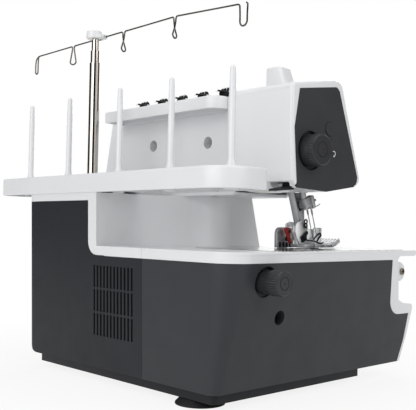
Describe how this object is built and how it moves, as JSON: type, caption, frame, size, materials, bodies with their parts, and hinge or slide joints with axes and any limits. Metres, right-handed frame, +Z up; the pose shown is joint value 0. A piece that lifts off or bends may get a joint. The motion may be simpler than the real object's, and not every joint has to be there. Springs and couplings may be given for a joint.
{
  "type": "serger overlock machine",
  "caption": "Free-standing overlock sewing machine with a low bed, inclined needle bar under an arm, spool stand and telescopic thread guide behind it.",
  "frame": {"origin": "centre of the machine's plan, on the table under its feet", "axes": "+X along the bed to the handwheel end, +Y to the back, away from the user, +Z up"},
  "size_m": [0.4106, 0.302, 0.3719],
  "materials": {
    "white_abs": "satin moulded",
    "dark_abs": "fine moulded grain",
    "end_abs": "fine moulded grain",
    "knob_abs": "moulded, ribbed",
    "rubber": "moulded",
    "black_abs": "moulded",
    "plated_steel": "nickel plated",
    "steel": "ground",
    "dark_steel": "sintered",
    "casting": "die cast",
    "bronze": "turned",
    "red_abs": "moulded",
    "lens": "diffusing",
    "belt_rubber": "moulded"
  },
  "bodies": {
    "machine": {"base_plate": "dark_abs", "rubber_feet": "rubber", "rear_cover": "dark_abs", "end_cover": "end_abs", "lower_frame": "white_abs", "bed_plate": "white_abs", "needle_plate": "steel", "rear_housing": "white_abs", "arm_rear_cover": "white_abs", "front_housing": "white_abs", "right_cover": "white_abs", "head_housing": "white_abs", "head_end_plate": "end_abs", "thread_rail": "white_abs", "rail_guides": "dark_steel", "take_up_cover": "white_abs", "spool_stand": "white_abs", "spool_pins": "white_abs", "pole_lower": "plated_steel", "pressure_cap": "knob_abs", "bed_lug": "white_abs", "body_screws": "steel", "tension_shaft": "steel", "shaft_bearings": "bronze", "drive_belt": "belt_rubber", "motor": "dark_steel", "inner_frame": "casting", "lower_knife": "steel", "power_inlet": "black_abs", "led_lamp": "lens"},
    "drive_shaft": {"handwheel": "knob_abs", "main_shaft": "steel", "main_pulley": "knob_abs"},
    "motor_rotor": {"motor_pulley": "steel"},
    "needle_drive": {"needle_bar": "steel", "needle_clamp": "dark_steel", "needles": "plated_steel"},
    "presser": {"presser_bar": "steel", "presser_foot": "dark_steel"},
    "foot_lever": {"foot_release_lever": "red_abs"},
    "lifter": {"presser_lifter": "black_abs"},
    "feed": {"feed_dogs": "steel"},
    "lower_looper": {"lower_looper": "steel"},
    "upper_looper": {"upper_looper": "steel"},
    "knife": {"upper_knife": "dark_steel"},
    "cover_slide": {"cover_hinge": "steel"},
    "looper_door": {"looper_cover": "white_abs"},
    "tube_middle": {"pole_middle": "plated_steel"},
    "tube_upper": {"pole_upper": "plated_steel"},
    "thread_guide": {"pole_cap": "white_abs", "thread_guide_wire": "plated_steel"},
    "pressure_knob": {"pressure_knob": "knob_abs"},
    "end_knob": {"end_knob": "knob_abs"},
    "length_dial": {"stitch_length_dial": "knob_abs"},
    "switch": {"power_switch": "black_abs"},
    "dial_1": {"tension_dial_1": "knob_abs"},
    "dial_2": {"tension_dial_2": "knob_abs"},
    "dial_3": {"tension_dial_3": "knob_abs"},
    "dial_4": {"tension_dial_4": "knob_abs"},
    "dial_5": {"tension_dial_5": "knob_abs"}
  },
  "joints": [
    {"name": "handwheel_turn", "type": "hinge", "parent": "machine", "child": "drive_shaft", "pos_m": [0.1373, 0.024, 0.112], "axis": [1, 0, 0], "continuous": true},
    {"name": "motor_turn", "type": "hinge", "parent": "machine", "child": "motor_rotor", "pos_m": [0.1053, 0.092, 0.06], "axis": [1, 0, 0], "continuous": true},
    {"name": "needle_stroke", "type": "slide", "parent": "machine", "child": "needle_drive", "axis": [0, -0.3173, -0.9483], "range_m": [0, 0.024]},
    {"name": "feed_stroke", "type": "slide", "parent": "machine", "child": "feed", "axis": [0, 1, 0], "range_m": [-0.0025, 0.0025]},
    {"name": "lower_looper_swing", "type": "hinge", "parent": "machine", "child": "lower_looper", "pos_m": [-0.0987, -0.016, 0.084], "axis": [0, 1, 0], "range_deg": [-6, 6]},
    {"name": "upper_looper_swing", "type": "hinge", "parent": "machine", "child": "upper_looper", "pos_m": [-0.0827, -0.016, 0.08], "axis": [0, 1, 0], "range_deg": [-6, 6]},
    {"name": "knife_stroke", "type": "slide", "parent": "machine", "child": "knife", "axis": [0, 0, 1], "range_m": [-0.004, 0.004]},
    {"name": "lifter_turn", "type": "hinge", "parent": "machine", "child": "lifter", "pos_m": [-0.1557, 0.036, 0.21], "axis": [1, 0, 0], "range_deg": [0, 14]},
    {"name": "presser_lift", "type": "slide", "parent": "machine", "child": "presser", "axis": [0, 0.3173, 0.9483], "range_m": [0, 0.006]},
    {"name": "foot_lever_press", "type": "hinge", "parent": "presser", "child": "foot_lever", "pos_m": [-0.1137, -0.0167, 0.1475], "axis": [1, 0, 0], "range_deg": [-12, 0], "stiffness_Nm_per_rad": 0.05, "springref_deg": 5.73},
    {"name": "cover_unlock", "type": "slide", "parent": "machine", "child": "cover_slide", "axis": [1, 0, 0], "range_m": [0, 0.012]},
    {"name": "cover_open", "type": "hinge", "parent": "cover_slide", "child": "looper_door", "pos_m": [-0.0217, -0.143, 0.0836], "axis": [1, 0, 0], "range_deg": [0, 95]},
    {"name": "tube_middle_pull", "type": "slide", "parent": "machine", "child": "tube_middle", "axis": [0, 0, 1], "range_m": [0, 0.1]},
    {"name": "tube_upper_pull", "type": "slide", "parent": "tube_middle", "child": "tube_upper", "axis": [0, 0, 1], "range_m": [0, 0.1]},
    {"name": "thread_guide_swivel", "type": "hinge", "parent": "tube_upper", "child": "thread_guide", "pos_m": [0.0538, 0.122, 0.365], "axis": [0, 0, 1], "range_deg": [-90, 90]},
    {"name": "tension_dial_1_turn", "type": "hinge", "parent": "machine", "child": "dial_1", "pos_m": [-0.0687, -0.006, 0.261], "axis": [1, 0, 0], "range_deg": [-140, 140]},
    {"name": "tension_dial_2_turn", "type": "hinge", "parent": "machine", "child": "dial_2", "pos_m": [-0.0347, -0.006, 0.261], "axis": [1, 0, 0], "range_deg": [-140, 140]},
    {"name": "tension_dial_3_turn", "type": "hinge", "parent": "machine", "child": "dial_3", "pos_m": [-0.0007, -0.006, 0.261], "axis": [1, 0, 0], "range_deg": [-140, 140]},
    {"name": "tension_dial_4_turn", "type": "hinge", "parent": "machine", "child": "dial_4", "pos_m": [0.0333, -0.006, 0.261], "axis": [1, 0, 0], "range_deg": [-140, 140]},
    {"name": "tension_dial_5_turn", "type": "hinge", "parent": "machine", "child": "dial_5", "pos_m": [0.0673, -0.006, 0.261], "axis": [1, 0, 0], "range_deg": [-140, 140]},
    {"name": "pressure_knob_turn", "type": "hinge", "parent": "machine", "child": "pressure_knob", "pos_m": [-0.1747, 0.0295, 0.2348], "axis": [1, 0, 0], "range_deg": [-150, 150]},
    {"name": "end_knob_turn", "type": "hinge", "parent": "machine", "child": "end_knob", "pos_m": [-0.1847, 0.1002, 0.1125], "axis": [1, 0, 0], "range_deg": [-120, 120]},
    {"name": "length_dial_turn", "type": "hinge", "parent": "machine", "child": "length_dial", "pos_m": [0.1373, -0.006, 0.17], "axis": [1, 0, 0], "range_deg": [-120, 120]},
    {"name": "switch_rock", "type": "hinge", "parent": "machine", "child": "switch", "pos_m": [0.1323, 0.002, 0.052], "axis": [0, 0, 1], "range_deg": [-8, 8]}
  ],
  "couplings": [
    {"joint": "motor_turn", "follows": "handwheel_turn", "ratio": 2.6667},
    {"joint": "feed_stroke", "follows": "needle_stroke", "ratio": 0.1},
    {"joint": "lower_looper_swing", "follows": "needle_stroke", "rad_per_m": 4.2},
    {"joint": "upper_looper_swing", "follows": "needle_stroke", "rad_per_m": -4.2},
    {"joint": "knife_stroke", "follows": "needle_stroke", "ratio": -0.16},
    {"joint": "lifter_turn", "follows": "presser_lift", "rad_per_m": 40.72}
  ]
}
